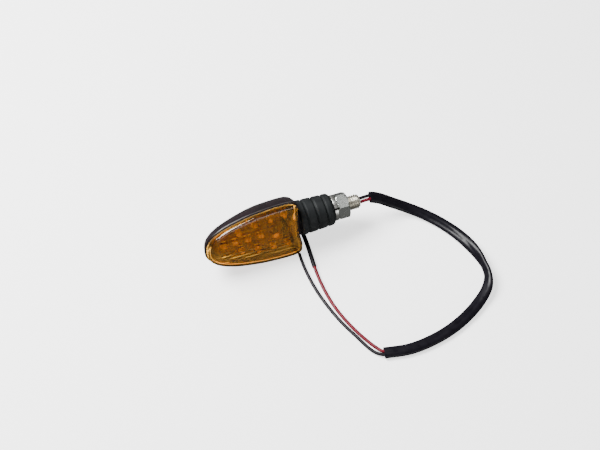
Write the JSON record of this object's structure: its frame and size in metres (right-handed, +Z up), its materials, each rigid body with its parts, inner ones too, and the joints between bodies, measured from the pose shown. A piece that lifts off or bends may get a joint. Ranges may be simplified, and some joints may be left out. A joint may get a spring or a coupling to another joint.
{
  "type": "turn signal indicator",
  "caption": "Teardrop amber turn signal lamp on a short ribbed rubber stem with a hollow threaded stud, nut, lock washer and sleeved two-wire lead.",
  "frame": {"origin": "on the surface that the lamp lies on, under the middle of the lamp's bounding box (without its free wires)", "axes": "+X along the stem axis from the tip of the lens towards the threaded end, +Z up, -Y towards the side that the lens faces"},
  "size_m": [0.1422, 0.0997, 0.0345],
  "materials": {
    "amber_lens": "clear amber moulded plastic, gloss",
    "housing_black": "gloss black moulded plastic",
    "stem_rubber": "matte moulded rubber",
    "seal_rubber": "matte",
    "screw_steel": "plain steel",
    "zinc_plate": "bright zinc plate",
    "board": "dark brown solder resist",
    "led_epoxy": "amber epoxy",
    "chip_black": "moulded epoxy",
    "red_insulation": "satin PVC",
    "black_insulation": "satin PVC",
    "pvc_sleeve": "gloss soft PVC"
  },
  "bodies": {
    "mount": {"threaded_stud": "zinc_plate", "red_wire": "red_insulation", "black_wire": "black_insulation", "cable_sleeve": "pvc_sleeve", "wire_end_sleeve": "pvc_sleeve"},
    "stem": {"rubber_stem": "stem_rubber"},
    "head": {"housing": "housing_black", "lens": "amber_lens", "lens_seal": "seal_rubber", "lens_screw": "screw_steel", "circuit_board": "board", "led_01": "led_epoxy", "led_02": "led_epoxy", "led_03": "led_epoxy", "led_04": "led_epoxy", "led_05": "led_epoxy", "led_06": "led_epoxy", "led_07": "led_epoxy", "led_08": "led_epoxy", "led_09": "led_epoxy", "led_10": "led_epoxy", "led_11": "led_epoxy", "led_12": "led_epoxy", "resistor_1": "chip_black", "resistor_2": "chip_black", "resistor_3": "chip_black", "resistor_4": "chip_black", "protection_diode": "chip_black", "red_lead": "red_insulation", "black_lead": "black_insulation"},
    "washer": {"lock_washer": "zinc_plate"},
    "nut": {"hex_nut": "zinc_plate"}
  },
  "joints": [
    {"name": "stem_bend_fore_aft", "type": "hinge", "parent": "mount", "child": "stem", "pos_m": [0.01915, 0.0021, 0.01565], "axis": [0, 0.2924, 0.9563], "range_deg": [-15, 15], "stiffness_Nm_per_rad": 1.5, "deforming": ["rubber_stem", "red_lead", "black_lead", "red_wire", "black_wire", "wire_end_sleeve"]},
    {"name": "stem_bend_up_down", "type": "hinge", "parent": "stem", "child": "head", "pos_m": [0.01415, 0.0021, 0.01565], "axis": [0, -0.9563, 0.2924], "range_deg": [-15, 15], "stiffness_Nm_per_rad": 1.5, "deforming": ["rubber_stem", "red_lead", "black_lead", "red_wire", "black_wire", "wire_end_sleeve"]},
    {"name": "washer_slide", "type": "slide", "parent": "mount", "child": "washer", "axis": [1, 0, 0], "range_m": [0, 0.00729]},
    {"name": "nut_turn", "type": "hinge", "parent": "washer", "child": "nut", "pos_m": [0.03425, 0.0021, 0.01565], "axis": [1, 0, 0], "range_deg": [0, 2100]}
  ],
  "couplings": [
    {"joint": "nut_turn", "follows": "washer_slide", "rad_per_m": 5026.5}
  ]
}
